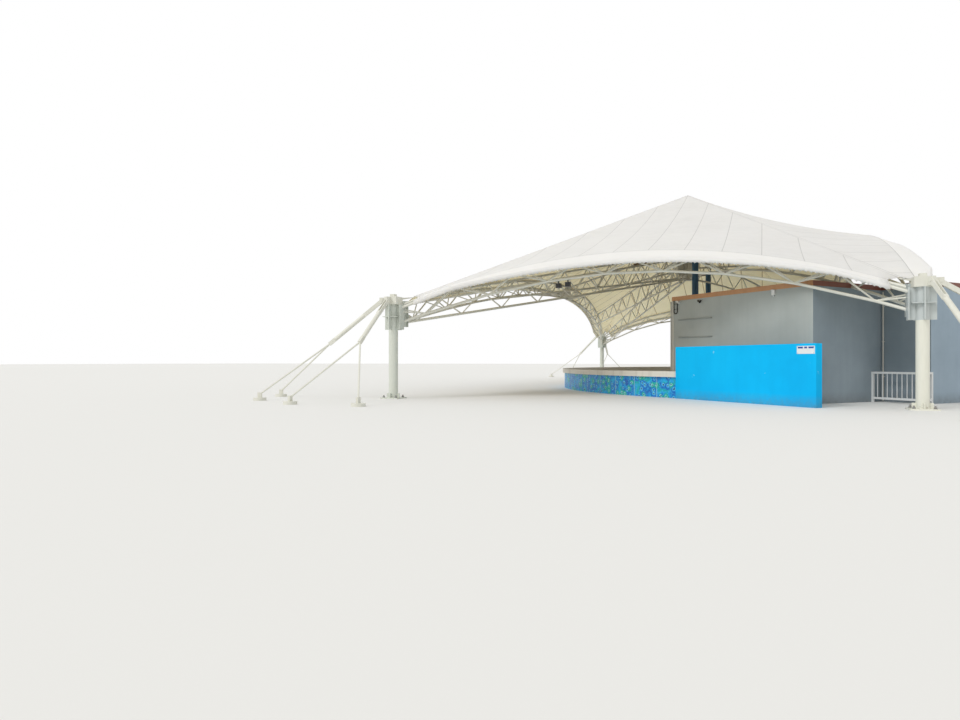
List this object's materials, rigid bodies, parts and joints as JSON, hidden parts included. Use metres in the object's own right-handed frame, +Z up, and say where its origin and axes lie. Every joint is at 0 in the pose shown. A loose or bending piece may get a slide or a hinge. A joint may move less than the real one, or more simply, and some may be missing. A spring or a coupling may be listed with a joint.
{
  "type": "bandstand (open-air stage with a tensioned membrane canopy), 1:2 scale model",
  "caption": "Open-air bandstand: a peaked white membrane on arched lattice trusses and stayed masts over a curved stage with a stage house.",
  "frame": {"origin": "on the ground, in the middle of the plan, under the peak of the canopy", "axes": "+Z up, -X towards the audience, +X towards the stage house, Y across the stage"},
  "size_m": [15.9699, 25.61, 6.258],
  "materials": {
    "cream_steel": "satin",
    "membrane": "matte",
    "tie_paint": "satin",
    "column_paint": "satin",
    "black_enamel": "satin",
    "stage_concrete": "matte",
    "mosaic_tile": "gloss",
    "azure_render": "matte",
    "light_render": "matte",
    "dark_render": "matte",
    "blue_grey_render": "matte",
    "roof_felt": "matte",
    "rust_brown_metal": "satin",
    "white_paint": "satin"
  },
  "bodies": {
    "root": {"mast_front_near": "cream_steel", "mast_front_far": "cream_steel", "mast_rear_near": "cream_steel", "mast_rear_far": "cream_steel", "mast_head_front_near": "cream_steel", "mast_head_front_far": "cream_steel", "mast_head_rear_near": "cream_steel", "mast_head_rear_far": "cream_steel", "stays_front_near": "cream_steel", "stays_front_far": "cream_steel", "stays_rear_near": "cream_steel", "stays_rear_far": "cream_steel", "side_arch_near": "cream_steel", "side_arch_far": "cream_steel", "front_arch_near": "cream_steel", "front_arch_far": "cream_steel", "rear_arch_near": "cream_steel", "rear_arch_far": "cream_steel", "diagonal_truss_front_near": "cream_steel", "diagonal_truss_front_far": "cream_steel", "diagonal_truss_rear_near": "cream_steel", "diagonal_truss_rear_far": "cream_steel", "spine_front": "cream_steel", "spine_rear": "cream_steel", "king_post": "cream_steel", "column_near": "column_paint", "column_far": "column_paint", "column_ties": "tie_paint", "canopy_near": "membrane", "canopy_far": "membrane", "canopy_front": "membrane", "canopy_rear": "membrane", "flood_lights": "black_enamel", "stage_floor": "stage_concrete", "stage_front": "mosaic_tile", "low_wall_near": "azure_render", "low_wall_far": "azure_render", "wing_wall_near": "light_render", "wing_wall_far": "light_render", "side_wall_near": "light_render", "side_wall_far": "light_render", "end_wall_near": "dark_render", "end_wall_far": "dark_render", "recess_wall_near": "dark_render", "recess_wall_far": "dark_render", "outer_wall_near": "blue_grey_render", "outer_wall_far": "blue_grey_render", "back_wall": "light_render", "rear_wall": "blue_grey_render", "roof_slab": "roof_felt", "fascia": "rust_brown_metal", "coping": "rust_brown_metal", "nook_fences": "white_paint"}
  },
  "joints": []
}
